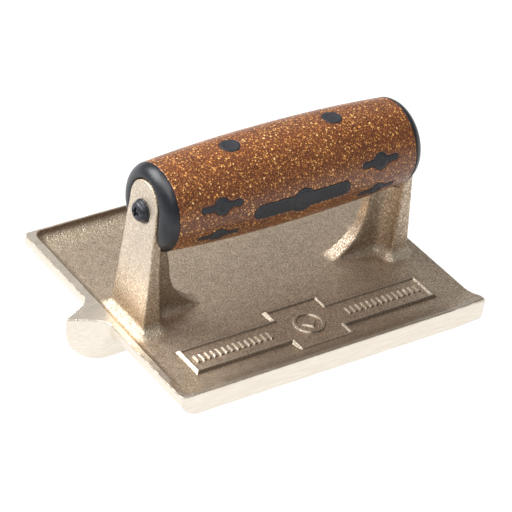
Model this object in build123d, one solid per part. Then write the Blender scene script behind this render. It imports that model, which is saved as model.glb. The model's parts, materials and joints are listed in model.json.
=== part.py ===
from build123d import *
import math
import os

# Hand groover for concrete: one bronze casting (plate, groove bit and two posts)
# with a grip clamped between the posts by a screw at each end.
# X runs along the grip, Y across the plate, Z up from the lowest line of the bit.

# Overall
OVERALL_LENGTH = 152.4
PLATE_LENGTH = 139.2
PLATE_WIDTH = 114.3
PLATE_HEIGHT = 9.5
BIT_DEPTH = 12.7

SOLE_Z = BIT_DEPTH
RIM_Z = SOLE_Z + PLATE_HEIGHT
HEEL_X = OVERALL_LENGTH / 2
TOE_X = HEEL_X - PLATE_LENGTH
BOW_X = -OVERALL_LENGTH / 2
HALF_WIDTH = PLATE_WIDTH / 2

# Plate and tray
TOE_ROUND = 8.7
HEEL_ROUND = 2.5
CORNER_ROUND = 2.6
TRAY_DEPTH = 3.65
TRAY_CORNER = 4.0
TRAY_FILLET = 3.4
TOE_RIM = 3.6
FRONT_RIM = 4.0
BACK_RIM = 1.0
FLOOR_Z = RIM_Z - TRAY_DEPTH

# Groove bit
BIT_Y = 2.0
BIT_HALF = 4.3
BIT_SHOULDER = 8.0
BOW_HALF = 6.7
BOW_KEEL_RADIUS = 18.5
HEEL_KEEL_RADIUS = 6.0

# Posts and webs
POST_X = 7.9
POST_Y = -3.4
POST_BASE_OUT = 61.06
POST_DRAFT = 0.0451
POST_BASE_IN = 53.2
POST_TOP_IN = 55.3
POST_KNEE_Z = RIM_Z + 25.0
POST_BASE_HALF = 11.4
POST_TOP_RADIUS = 8.86
POST_ARCH_Z = RIM_Z + 47.9
FOOT_SPREAD = 2.6
FOOT_TAPER = 40.0
WEB_THICKNESS = 5.6
WEB_RADIUS = 21.0
WEB_CENTRE_U = 24.5
WEB_TOP_Z = RIM_Z + 26.5
WEB_TOP_U = 47.5

# Grip
GRIP_Z = 67.0
GRIP_RADIUS = 18.95
GRIP_CROWN = 2.05
GRIP_CROWN_POWER = 2.2
SLEEVE_HALF = 53.3
CORE_RADIUS = 14.5
CORE_BORE = 3.0
BOSS_RADIUS = 9.0
CAP_CENTRE_U = 51.7
CAP_CENTRE_R = 10.7
CAP_ROUND = 6.5
CAP_GAP = 0.35

# Screws, washers and inserts (10-24 thread)
THREAD_RADIUS = 2.41
THREAD_ROOT = 1.85
THREAD_PITCH = 1.0583
THREAD_TURNS = 15
SHANK_LENGTH = 18.2
HEAD_RADIUS = 4.2
HEAD_HEIGHT = 2.9
HEAD_RIM = 0.9
RECESS_SPAN = 4.6
RECESS_SLOT = 1.15
RECESS_DEPTH = 1.7
WASHER_RADIUS = 4.5
WASHER_THICKNESS = 0.6
SEAT_RADIUS = 4.9
SEAT_U = 58.6
SEAT_GAP = 0.02
HOLE_RADIUS = 2.6
INSERT_RADIUS = 4.1
INSERT_LENGTH = 12.7
INSERT_BORE = 2.47
INSERT_FLANGE_RADIUS = 5.4
INSERT_FLANGE = 1.0
CUT_PAST = 6.0

# Flush black inlays in the sleeve
DOT_OFFSET = 22.9
DOT_RADIUS = 4.0
BADGE_OFFSET = 35.6
BADGE_LENGTH = 17.6
BADGE_BAR = 2.7
BADGE_DISC = 3.5
UPPER_ANGLE = 72.0
LOWER_ANGLE = 114.0
LABEL_LENGTH = 43.5
LABEL_BAR = 6.6
LABEL_DISC = 5.3
LABEL_ANGLE = 93.0

# Raised panel cast on the tray floor
PANEL_X = POST_X - 0.5
PANEL_Y = -36.0
PANEL_LENGTH = 110.0
PANEL_WIDTH = 15.0
PANEL_BLOCK = 25.4
PANEL_BLOCK_WIDTH = 27.0
PANEL_BORDER = 1.8
PANEL_RAISE = 1.2
PANEL_FIELD_RAISE = 0.5
PANEL_ROOT = 0.3
EMBLEM_RING = 6.2
EMBLEM_LINE = 1.3
EMBLEM_DIAMOND = 4.2
TICK_COUNT = 14
TICK_SPACING = 2.5
TICK_START = 18.0
TICK_LENGTH = 4.0
TICK_WIDTH = 1.1


def save(shape, name):
    shape.label = name
    export_step(shape, f"parts/{name}.step")


def at(edges, axis, value):
    """The edges whose middle lies at this value along the axis."""
    return edges.filter_by_position(axis, value - 0.01, value + 0.01)


def plate():
    """The slab: turned up at the toe, nearly square at the heel."""
    middle_x = (TOE_X + HEEL_X) / 2
    slab = Pos(middle_x, 0, SOLE_Z + PLATE_HEIGHT / 2) * Box(PLATE_LENGTH, PLATE_WIDTH, PLATE_HEIGHT)
    across = slab.edges().filter_by(Axis.Y)
    slab = fillet(at(across, Axis.X, TOE_X).sort_by(Axis.Z)[0], TOE_ROUND)
    across = slab.edges().filter_by(Axis.Y)
    slab = fillet(at(across, Axis.X, HEEL_X).sort_by(Axis.Z)[0], HEEL_ROUND)
    return slab


def tray():
    """The hollow of the tray: rimmed at the toe, front and back, open at the heel."""
    low_x = TOE_X + TOE_RIM
    high_x = HEEL_X + 20
    low_y = -HALF_WIDTH + FRONT_RIM
    high_y = HALF_WIDTH - BACK_RIM
    hollow = Pos((low_x + high_x) / 2, (low_y + high_y) / 2, FLOOR_Z + 10) * Box(
        high_x - low_x, high_y - low_y, 20
    )
    corners = at(hollow.edges().filter_by(Axis.Z), Axis.X, low_x)
    hollow = fillet(corners, TRAY_CORNER)
    floor_edges = at(hollow.edges(), Axis.Z, FLOOR_Z)
    floor_edges = [e for e in floor_edges if e.center().X < high_x - 1]
    return fillet(floor_edges, TRAY_FILLET)


def blade_section(half, shoulder):
    """YZ outline of the bit: round bottom, and hollow shoulders that run out into the sole."""
    top = SOLE_Z + 2.0
    wide = half + shoulder
    turn = math.sqrt(0.5)
    with BuildSketch(Plane.YZ) as section:
        with BuildLine():
            a = Line((-wide, top), (-wide, SOLE_Z))
            b = ThreePointArc(
                a @ 1,
                (-wide + shoulder * turn, SOLE_Z - shoulder * (1 - turn)),
                (-half, SOLE_Z - shoulder),
            )
            c = ThreePointArc(b @ 1, (0, 0), (half, SOLE_Z - shoulder))
            d = ThreePointArc(
                c @ 1,
                (wide - shoulder * turn, SOLE_Z - shoulder * (1 - turn)),
                (wide, SOLE_Z),
            )
            e = Line(d @ 1, (wide, top))
            Line(e @ 1, a @ 0)
        make_face()
    return section.sketch


def keel():
    """The blade of the bit under the flat of the sole, rounded up at the heel."""
    start = TOE_X + TOE_ROUND
    blade = Pos(start, BIT_Y, 0) * extrude(blade_section(BIT_HALF, BIT_SHOULDER), HEEL_X - start)
    with BuildSketch(Plane.XZ) as side:
        with BuildLine():
            a = Line((start, RIM_Z), (start, 0))
            b = Line(a @ 1, (HEEL_X - HEEL_KEEL_RADIUS, 0))
            c = RadiusArc(b @ 1, (HEEL_X, HEEL_KEEL_RADIUS), -HEEL_KEEL_RADIUS)
            d = Line(c @ 1, (HEEL_X, RIM_Z))
            Line(d @ 1, a @ 0)
        make_face()
    return blade & across_plate(side.sketch)


def bow():
    """The pointed bow: a wedge in plan, a V in section, its keel line rounding up to the tip."""
    back_x = TOE_X + TOE_ROUND + 1.0
    plan = make_face(
        Polyline(
            (BOW_X, BIT_Y),
            (TOE_X, BIT_Y - BOW_HALF),
            (back_x, BIT_Y - BOW_HALF),
            (back_x, BIT_Y + BOW_HALF),
            (TOE_X, BIT_Y + BOW_HALF),
            close=True,
        )
    )
    knee_z = SOLE_Z - BIT_SHOULDER
    with BuildSketch(Plane.YZ) as section:
        with BuildLine():
            a = Line((-BOW_HALF, RIM_Z), (-BOW_HALF, SOLE_Z))
            b = Line(a @ 1, (-BIT_HALF, knee_z))
            c = ThreePointArc(b @ 1, (0, 0), (BIT_HALF, knee_z))
            d = Line(c @ 1, (BOW_HALF, SOLE_Z))
            e = Line(d @ 1, (BOW_HALF, RIM_Z))
            Line(e @ 1, a @ 0)
        make_face()
    wedge = extrude(plan, RIM_Z) & Pos(BOW_X, BIT_Y, 0) * extrude(section.sketch, OVERALL_LENGTH)
    rim_x = TOE_X + TOE_RIM - 0.4
    with BuildSketch(Plane.XZ) as side:
        with BuildLine():
            a = Line((rim_x, RIM_Z), (BOW_X, RIM_Z))
            b = Line(a @ 1, (BOW_X, BOW_KEEL_RADIUS))
            c = RadiusArc(b @ 1, (BOW_X + BOW_KEEL_RADIUS, 0), -BOW_KEEL_RADIUS)
            d = Line(c @ 1, (back_x, 0))
            e = Line(d @ 1, (back_x, SOLE_Z + 1))
            f = Line(e @ 1, (rim_x, SOLE_Z + 1))
            Line(f @ 1, a @ 0)
        make_face()
    return wedge & across_plate(side.sketch)


def across_plate(sketch):
    """A side outline in XZ carried the whole width of the plate."""
    return Pos(0, HALF_WIDTH, 0) * extrude(sketch, PLATE_WIDTH)


def post_outline(grow=0.0):
    """Front outline of a post in YZ: tapering upward to a round top."""
    slope = (POST_BASE_HALF - POST_TOP_RADIUS) / (POST_ARCH_Z - FLOOR_Z)
    base_z = FLOOR_Z - 2.0
    base = POST_BASE_HALF + slope * (FLOOR_Z - base_z) + grow
    top = POST_TOP_RADIUS + grow
    with BuildSketch(Plane.YZ) as front:
        with BuildLine():
            a = Line((POST_Y - base, base_z), (POST_Y - top, POST_ARCH_Z))
            b = ThreePointArc(a @ 1, (POST_Y, POST_ARCH_Z + top), (POST_Y + top, POST_ARCH_Z))
            c = Line(b @ 1, (POST_Y + base, base_z))
            Line(c @ 1, a @ 0)
        make_face()
    return front.sketch


def post_face_u(z):
    """Distance of a post's outer face from the middle of the grip, at height z."""
    return POST_BASE_OUT - POST_DRAFT * (z - FLOOR_Z)


def post(side):
    """One post: a tapering blade, thicker at its foot."""
    low_z = FLOOR_Z - 2.0
    high_z = POST_ARCH_Z + POST_TOP_RADIUS + 5
    points = [
        (post_face_u(low_z), low_z),
        (post_face_u(high_z), high_z),
        (POST_TOP_IN, high_z),
        (POST_TOP_IN, POST_KNEE_Z),
        (POST_BASE_IN, low_z),
    ]
    points = [(POST_X + side * u, z) for u, z in points]
    blade = across_plate(Plane.XZ * make_face(Polyline(*points, close=True)))
    front = Pos(-OVERALL_LENGTH, 0, 0) * extrude(post_outline(), 2 * OVERALL_LENGTH)
    return blade & front


def foot(side):
    """The flare where a post runs into the tray floor."""
    middle = POST_X + side * (POST_BASE_OUT + POST_BASE_IN) / 2
    length = POST_BASE_OUT - POST_BASE_IN + 2 * FOOT_SPREAD
    width = 2 * (POST_BASE_HALF + FOOT_SPREAD)
    base = Pos(middle, POST_Y, FLOOR_Z) * Rectangle(length, width)
    return extrude(base, FOOT_SPREAD, taper=FOOT_TAPER)


def web(side):
    """The rib behind a post, sweeping down to the tray in one hollow curve."""
    low_z = FLOOR_Z - 1.0
    centre_z = FLOOR_Z + WEB_RADIUS - 0.15
    turn = math.sqrt(0.5)
    with BuildSketch(Plane.XZ) as rib:
        with BuildLine():
            a = Line(
                (POST_X + side * (POST_TOP_IN + 0.5), WEB_TOP_Z),
                (POST_X + side * WEB_TOP_U, WEB_TOP_Z),
            )
            b = Line(a @ 1, (POST_X + side * (WEB_CENTRE_U + WEB_RADIUS), centre_z))
            c = ThreePointArc(
                b @ 1,
                (
                    POST_X + side * (WEB_CENTRE_U + WEB_RADIUS * turn),
                    centre_z - WEB_RADIUS * turn,
                ),
                (POST_X + side * WEB_CENTRE_U, centre_z - WEB_RADIUS),
            )
            d = Line(c @ 1, (POST_X + side * WEB_CENTRE_U, low_z))
            e = Line(d @ 1, (POST_X + side * (POST_TOP_IN + 0.5), low_z))
            Line(e @ 1, a @ 0)
        make_face()
    return Pos(0, POST_Y + WEB_THICKNESS / 2, 0) * extrude(rib.sketch, WEB_THICKNESS)


def rod(radius, low_u, high_u, side=1):
    """A round bar on the grip's axis, between two distances from the grip's middle."""
    centre = POST_X + side * (low_u + high_u) / 2
    return Pos(centre, POST_Y, GRIP_Z) * Rot(0, 90, 0) * Cylinder(radius, high_u - low_u)


def panel_outline(inset):
    """The panel's cross-shaped outline: a long bar with a square block at its middle."""
    bar = Rectangle(PANEL_LENGTH - 2 * inset, PANEL_WIDTH - 2 * inset)
    block = Rectangle(PANEL_BLOCK - 2 * inset, PANEL_BLOCK_WIDTH - 2 * inset)
    return bar + block


def panel():
    """A raised field with a higher border, a ring and diamond at its middle, and a row of ticks each side."""
    border = panel_outline(0) - panel_outline(PANEL_BORDER)
    ring = Circle(EMBLEM_RING) - Circle(EMBLEM_RING - EMBLEM_LINE)
    diamond = Rot(0, 0, 45) * Rectangle(EMBLEM_DIAMOND, EMBLEM_DIAMOND)
    marks = [border, ring, diamond]
    for side in (-1, 1):
        for i in range(TICK_COUNT):
            marks.append(Pos(side * (TICK_START + TICK_SPACING * i), 0) * Rectangle(TICK_WIDTH, TICK_LENGTH))
    place = Pos(PANEL_X, PANEL_Y, FLOOR_Z - PANEL_ROOT)
    field = place * extrude(panel_outline(0), PANEL_FIELD_RAISE + PANEL_ROOT)
    return [field] + [place * extrude(mark, PANEL_RAISE + PANEL_ROOT) for mark in marks]


def groover_body():
    slab = plate() - tray()
    slab = fillet(slab.edges().filter_by(Axis.Z).filter_by(long_corner), CORNER_ROUND)
    body = slab
    for side in (-1, 1):
        body += post(side)
        body += foot(side)
        body += web(side)
    body += keel()
    body += bow()
    for mark in panel():
        body += mark
    for side in (-1, 1):
        body -= rod(HOLE_RADIUS, POST_TOP_IN - CUT_PAST, POST_BASE_OUT + CUT_PAST, side)
        body -= rod(SEAT_RADIUS, SEAT_U, POST_BASE_OUT + CUT_PAST, side)
    return body


def long_corner(edge):
    """True for the plate's upright corner edges, and not for the tray's."""
    centre = edge.center()
    return abs(abs(centre.Y) - HALF_WIDTH) < 0.01


def grip_radius(u):
    return GRIP_RADIUS - GRIP_CROWN * (abs(u) / SLEEVE_HALF) ** GRIP_CROWN_POWER


def sleeve_blank():
    """The crowned sleeve before its windows."""
    steps = 8
    stations = [SLEEVE_HALF * (i / steps * 2 - 1) for i in range(steps + 1)]
    crown = [(POST_X + u, GRIP_Z + grip_radius(u)) for u in stations]
    with BuildSketch(Plane.XZ) as half:
        with BuildLine():
            a = Spline(*crown)
            b = Line(a @ 1, (POST_X + SLEEVE_HALF, GRIP_Z + CORE_RADIUS))
            c = Line(b @ 1, (POST_X - SLEEVE_HALF, GRIP_Z + CORE_RADIUS))
            Line(c @ 1, a @ 0)
        make_face()
    axis = Axis((0, POST_Y, GRIP_Z), (1, 0, 0))
    return revolve(Pos(0, POST_Y, 0) * half.sketch, axis)


def inlay_prism(outline, offset, angle):
    """An inlay's outline driven inward through the sleeve; angle is from straight up, front positive."""
    tool = Pos(0, 0, CORE_RADIUS - CUT_PAST) * extrude(outline, GRIP_RADIUS - CORE_RADIUS + 2 * CUT_PAST)
    return Pos(POST_X + offset, POST_Y, GRIP_Z) * Rot(angle, 0, 0) * tool


def badge_outline(length, bar, disc):
    return SlotOverall(length, bar) + Circle(disc)


def inlay_tools():
    """Name and prism of every inlay."""
    tools = {}
    ends = {"left": -1, "right": 1}
    for end, side in ends.items():
        tools[f"top_dot_{end}"] = inlay_prism(Circle(DOT_RADIUS), side * DOT_OFFSET, 0)
    for face, turn in {"front": 1, "rear": -1}.items():
        label = badge_outline(LABEL_LENGTH, LABEL_BAR, LABEL_DISC)
        tools[f"label_inlay_{face}"] = inlay_prism(label, 0, turn * LABEL_ANGLE)
        for end, side in ends.items():
            badge = badge_outline(BADGE_LENGTH, BADGE_BAR, BADGE_DISC)
            for row, angle in {"upper": UPPER_ANGLE, "lower": LOWER_ANGLE}.items():
                name = f"{row}_badge_{face}_{end}"
                tools[name] = inlay_prism(badge, side * BADGE_OFFSET, turn * angle)
    return tools


def handle_core():
    """The moulded core: a thick tube with a boss at each end that the posts clamp."""
    core = rod(CORE_RADIUS, -SLEEVE_HALF, SLEEVE_HALF)
    core += rod(BOSS_RADIUS, -POST_TOP_IN, POST_TOP_IN)
    core -= rod(CORE_BORE, -POST_TOP_IN, POST_TOP_IN)
    for side in (-1, 1):
        core -= rod(INSERT_RADIUS, POST_TOP_IN - INSERT_LENGTH, POST_TOP_IN, side)
        core -= rod(INSERT_FLANGE_RADIUS, POST_TOP_IN - INSERT_FLANGE, POST_TOP_IN, side)
    return core


def end_cap(side):
    """A rounded cap round the core's boss, slotted from below to take the post."""
    with BuildSketch(Plane.XZ) as half:
        with BuildLine():
            rise = math.sqrt(CAP_ROUND**2 - (SLEEVE_HALF - CAP_CENTRE_U) ** 2)
            end_u = CAP_CENTRE_U + CAP_ROUND
            a = Line((SLEEVE_HALF, BOSS_RADIUS), (SLEEVE_HALF, CAP_CENTRE_R + rise))
            b = RadiusArc(a @ 1, (end_u, CAP_CENTRE_R), CAP_ROUND)
            c = Line(b @ 1, (end_u, BOSS_RADIUS))
            Line(c @ 1, a @ 0)
        make_face()
    ring = revolve(half.sketch, Axis.X)
    if side < 0:
        ring = ring.mirror(Plane.YZ)
    ring = Pos(POST_X, POST_Y, GRIP_Z) * ring
    inner = POST_X + side * (POST_TOP_IN - 0.02)
    outer = POST_X + side * (POST_BASE_OUT + 10)
    slot = extrude(post_outline(CAP_GAP), outer - inner)
    return ring - Pos(inner, 0, 0) * slot


def insert(side):
    """A flanged threaded insert; its bore is the thread's outer size."""
    inner = POST_TOP_IN - INSERT_LENGTH
    body = rod(INSERT_RADIUS, inner, POST_TOP_IN, side)
    body += rod(INSERT_FLANGE_RADIUS, POST_TOP_IN - INSERT_FLANGE, POST_TOP_IN, side)
    return body - rod(INSERT_BORE, inner - 1, POST_TOP_IN + 1, side)


def washer(side):
    inner = SEAT_U + SEAT_GAP
    outer = inner + WASHER_THICKNESS
    disc = rod(WASHER_RADIUS, inner, outer, side)
    return disc - rod(HOLE_RADIUS, inner - 1, outer + 1, side)


def screw(side):
    """A pan-head screw with a cross recess; its thread is drawn as even rings."""
    base = SEAT_U + WASHER_THICKNESS + 2 * SEAT_GAP
    top = base + HEAD_HEIGHT
    tip = base - SHANK_LENGTH
    bulge = HEAD_RADIUS * 0.72
    with BuildSketch(Plane.XZ) as half:
        with BuildLine():
            a = Line((tip, 0), (tip, THREAD_ROOT))
            b = Line(a @ 1, (base, THREAD_ROOT))
            c = Line(b @ 1, (base, HEAD_RADIUS))
            d = Line(c @ 1, (base + HEAD_RIM, HEAD_RADIUS))
            e = ThreePointArc(d @ 1, (base + HEAD_HEIGHT * 0.82, bulge), (top, 0))
            Line(e @ 1, a @ 0)
        make_face()
    body = Pos(POST_X, POST_Y, GRIP_Z) * revolve(half.sketch, Axis.X)
    start = tip + THREAD_PITCH / 2
    for i in range(THREAD_TURNS):
        low = start + i * THREAD_PITCH
        body += rod(THREAD_RADIUS, low, low + THREAD_PITCH / 2)
    for across in ((RECESS_SPAN, RECESS_SLOT), (RECESS_SLOT, RECESS_SPAN)):
        cut = Box(2 * RECESS_DEPTH, *across)
        body -= Pos(POST_X + top, POST_Y, GRIP_Z) * cut
    if side < 0:
        body = body.mirror(Plane.YZ.offset(POST_X))
    return body


os.makedirs("parts", exist_ok=True)

save(groover_body(), "groover_body")
save(handle_core(), "handle_core")

blank = sleeve_blank()
sleeve = blank
for name, tool in inlay_tools().items():
    save(blank & tool, name)
    sleeve -= tool
save(sleeve, "grip_sleeve")

for end, side in {"left": -1, "right": 1}.items():
    save(end_cap(side), f"end_cap_{end}")
    save(insert(side), f"threaded_insert_{end}")
    save(washer(side), f"screw_washer_{end}")
    save(screw(side), f"handle_screw_{end}")
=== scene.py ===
"""Looks of a bronze hand groover with a speckled grip, built round its CAD frame.

Shapes are worked out with numpy in millimetres, in the CAD frame, and written to meshes in metres.
Rounded castings and mouldings are the zero surface of a distance formula, found on a grid.
"""

import json
import math

import bpy
import numpy as np
from mathutils import Matrix, Vector


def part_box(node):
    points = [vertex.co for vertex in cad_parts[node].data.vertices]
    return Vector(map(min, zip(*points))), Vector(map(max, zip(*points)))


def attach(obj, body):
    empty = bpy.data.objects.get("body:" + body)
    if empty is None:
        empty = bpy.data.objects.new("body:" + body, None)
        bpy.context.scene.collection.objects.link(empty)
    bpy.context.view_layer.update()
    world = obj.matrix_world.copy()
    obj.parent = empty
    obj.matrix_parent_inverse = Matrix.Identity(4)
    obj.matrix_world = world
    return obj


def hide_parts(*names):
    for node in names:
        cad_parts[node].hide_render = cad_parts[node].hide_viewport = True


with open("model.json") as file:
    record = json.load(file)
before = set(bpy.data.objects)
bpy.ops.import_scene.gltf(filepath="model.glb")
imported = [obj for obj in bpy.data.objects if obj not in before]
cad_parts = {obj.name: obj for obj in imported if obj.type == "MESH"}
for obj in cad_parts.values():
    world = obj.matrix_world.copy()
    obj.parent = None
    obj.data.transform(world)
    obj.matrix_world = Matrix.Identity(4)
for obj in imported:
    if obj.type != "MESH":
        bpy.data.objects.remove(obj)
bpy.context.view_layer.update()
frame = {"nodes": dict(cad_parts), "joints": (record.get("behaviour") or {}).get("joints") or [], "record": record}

MM = 0.001
SIDES = {"left": -1, "right": 1}


def box_mm(node):
    """Lowest and highest corner of a CAD node, in millimetres."""
    low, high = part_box(node)
    return np.array(low) / MM, np.array(high) / MM


JOINTS = {joint["name"]: joint for joint in frame["joints"]}
MOUNTS = {mount["name"]: mount for mount in frame["record"]["mounts"]}

# Places read from the frame
body_low, body_high = box_mm("groover_body")
left_pin = np.array(JOINTS["left_screw_turn"]["pos_m"]) / MM
right_pin = np.array(JOINTS["right_screw_turn"]["pos_m"]) / MM
BOW_X, HEEL_X = body_low[0], body_high[0]
HALF_WIDTH = body_high[1]
SOLE_Z = MOUNTS["sole_front"]["pos_m"][2] / MM
GRIP_X = (left_pin[0] + right_pin[0]) / 2
GRIP_Y = left_pin[1]
GRIP_Z = left_pin[2]
sleeve_low, sleeve_high = box_mm("grip_sleeve")
SLEEVE_HALF = (sleeve_high[0] - sleeve_low[0]) / 2
GRIP_RADIUS = sleeve_high[2] - GRIP_Z
POST_TOP = body_high[2]

# Plate and tray
PLATE_LENGTH = 139.2
PLATE_HEIGHT = 9.5
TRAY_DEPTH = 3.65
TOE_X = HEEL_X - PLATE_LENGTH
RIM_Z = SOLE_Z + PLATE_HEIGHT
FLOOR_Z = RIM_Z - TRAY_DEPTH
TOE_ROUND = 8.7
CORNER_ROUND = 2.6
TOE_RIM = 3.2
TOE_RIM_TAPER = 0.8
TOE_LEAN = 0.25
FRONT_RIM = 3.2
FRONT_RIM_SWELL = 1.8
FRONT_SLOPE = 4.4
BACK_RIM = 1.2
BACK_LEAN = 0.3
TRAY_BACK_CORNER = 4.0
TRAY_FRONT_CORNER = 3.0
TRAY_FILLET = 3.2
RIM_EDGE = 0.45
FRONT_RIM_EDGE = 1.6
SIDE_EDGE = 1.0
SIDE_EDGE_SWELL = 1.4
SOLE_EDGE = 0.6
SKIN_RIPPLE = 0.05
SKIN_RIPPLE_SIZE = 9.0

# Groove bit and bow
BIT_Y = 2.0
BIT_HALF = 4.3
BIT_SHOULDER = 8.0
BOW_SHOULDER = 3.5
BOW_SPLAY = 2.4
BOW_TIP = 0.5
BOW_SPARE = 0.2
BOW_KEEL = 18.5
HEEL_ROUNDS = (6.0, 2.5, 1.0)   # at the keel, the sole and the rim

# Posts and webs, with u measured from the middle of the grip
POST_BASE_OUT = 61.06
POST_DRAFT = 0.0451
POST_BASE_IN = 53.2
POST_TOP_IN = 55.3
POST_KNEE_Z = RIM_Z + 25.0
POST_BASE_HALF = 11.4
POST_TOP_RADIUS = 8.86
POST_ARCH_Z = POST_TOP - POST_TOP_RADIUS
POST_OUTER_EDGE = 0.55
POST_INNER_EDGE = 0.8
FOOT_FILLET = 4.1
FOOT_FILLET_LEAST = 0.5
WEB_HALF = 2.2
WEB_DRAFT = 0.05
WEB_RADIUS = 21.0
WEB_CENTRE_U = 24.5
WEB_CENTRE_Z = FLOOR_Z + WEB_RADIUS - 0.15
WEB_TOP_Z = RIM_Z + 26.5
WEB_FADE_U = 38.0
WEB_FADE = 1.6
WEB_TOP_U = 47.5
WEB_EDGE = 1.1
WEB_FILLET = 6.2
HOLE_RADIUS = 2.6
SEAT_RADIUS = 4.9
SEAT_U = 58.6

# Grip
GRIP_CROWN = 2.05
GRIP_CROWN_POWER = 2.2
GRIP_CLEARANCE = 0.3
SLEEVE_BORE = 14.5
SLEEVE_EDGE = 0.35
SLEEVE_ROWS = 252
SLEEVE_COLUMNS = 292
CAP_END_U = 58.2
CAP_RADIUS = 17.2
CAP_ROUND = 6.5
CAP_INNER_EDGE = 0.25
CAP_SLOT_EDGE = 1.0
CAP_GAP = 0.35
BOSS_RADIUS = 9.0

# Inlays, with angles from straight up and the front positive
DOT_OFFSET = 22.9
BADGE_OFFSET = 35.6
UPPER_ANGLE = 72.0
LOWER_ANGLE = 114.0
LABEL_ANGLE = 93.0
INLAY_DEPTH = 1.2
INLAY_RISE = 0.10
INLAY_EDGE = 0.28
INLAY_GAP = 0.04
POCKET_DEPTH = 0.8
DISH_DEPTH = 0.22
RING_RISE = 0.30
LABEL_RING_RISE = 0.22
RIB_RISE = 0.20
RIB_SPACING = 1.15

# Raised panel
PANEL_X = GRIP_X - 0.5
PANEL_Y = -36.0
PANEL_LENGTH = 110.0
PANEL_WIDTH = 15.0
PANEL_BLOCK = 25.4
PANEL_BLOCK_WIDTH = 27.0
PANEL_BEVEL = 1.0
PANEL_BORDER = 1.8
PANEL_DROP = 0.6
PANEL_RAISE = 1.2
PANEL_FIELD = 0.5
PANEL_SUNK = 0.5
MARK_BEVEL = 0.4
EMBLEM_RING = 6.2
EMBLEM_LINE = 1.3
EMBLEM_DIAMOND = 4.2
TICK_COUNT = 14
TICK_SPACING = 2.5
TICK_START = 18.0
TICK_LENGTH = 4.0
TICK_WIDTH = 1.1

# Screws, washers and inserts
THREAD_PITCH = 1.0583
THREAD_RADIUS = 2.41
THREAD_ROOT = 1.85
THREAD_COLUMNS = 40
THREAD_ROWS_PER_PITCH = 8
SHANK_LENGTH = 18.2
SHANK_TIP = 0.72
HEAD_U = 59.24
HEAD_RADIUS = 3.95
HEAD_HEIGHT = 2.9
HEAD_DOME = 8.2
HEAD_EDGE = 1.15
FLANGE_REACH = 0.25
FLANGE_HEIGHT = 0.55
RECESS_SPAN = 4.6
RECESS_SLOT = 1.15
RECESS_DEPTH = 1.7
WASHER_RADIUS = 4.5
WASHER_BEVEL = 0.15
INSERT_BORE = 2.47
INSERT_LEAD_RADIUS = 3.8
INSERT_RADIUS = 4.05
INSERT_FLANGE = 5.3
KNURL_RADIUS = 4.1
KNURL_DEPTH = 0.16
KNURL_RIDGES = 30


# ---------------------------------------------------------------- distance formulas

def both(a, b, r):
    """Common part of two solids, its edge rounded to radius r: outside the edge, the corner distance."""
    return np.minimum(-r, np.maximum(a, b)) + np.hypot(np.maximum(r + a, 0), np.maximum(r + b, 0))


def either(a, b, r):
    """Two solids joined, with a fillet of radius r in the corner between them."""
    return np.maximum(r, np.minimum(a, b)) - np.hypot(np.maximum(r - a, 0), np.maximum(r - b, 0))


def ease(value, low, high):
    """0 below low, 1 above high, and the cubic 3t^2 - 2t^3 between."""
    t = np.clip((value - low) / (high - low), 0, 1)
    return t * t * (3 - 2 * t)


def ripple(x, y, z, size):
    """A gentle unevenness between -1 and 1: the mean of five sine waves that cross at odd angles."""
    total = 0
    for i in range(5):
        turn = 1.1 + 2.4 * i
        lean = 0.4 + 0.7 * i
        wave = x * math.cos(turn) + y * math.sin(turn) + z * math.sin(lean)
        total = total + np.sin(wave * (6.28 / size) * (1 + 0.23 * i) + 1.7 * i)
    return total / 5


def ruler(*stops):
    """Grid positions from the first stop to the last; each stop gives a place and the spacing there."""
    places, gaps = np.array(stops, float).T
    fine = np.linspace(places[0], places[-1], 4001)
    steps = np.gradient(fine) / np.interp(fine, places, gaps)
    run = np.cumsum(steps) - steps[0]
    return np.interp(np.linspace(0, run[-1], int(round(run[-1])) + 1), run, fine)


def slope(field, points, reach=0.02):
    """Gradient of a field by central differences."""
    columns = []
    for axis in range(3):
        shift = np.zeros(3)
        shift[axis] = reach
        ahead = field(*(points + shift).T)
        behind = field(*(points - shift).T)
        columns.append((ahead - behind) / (2 * reach))
    return np.stack(columns, 1)


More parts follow.
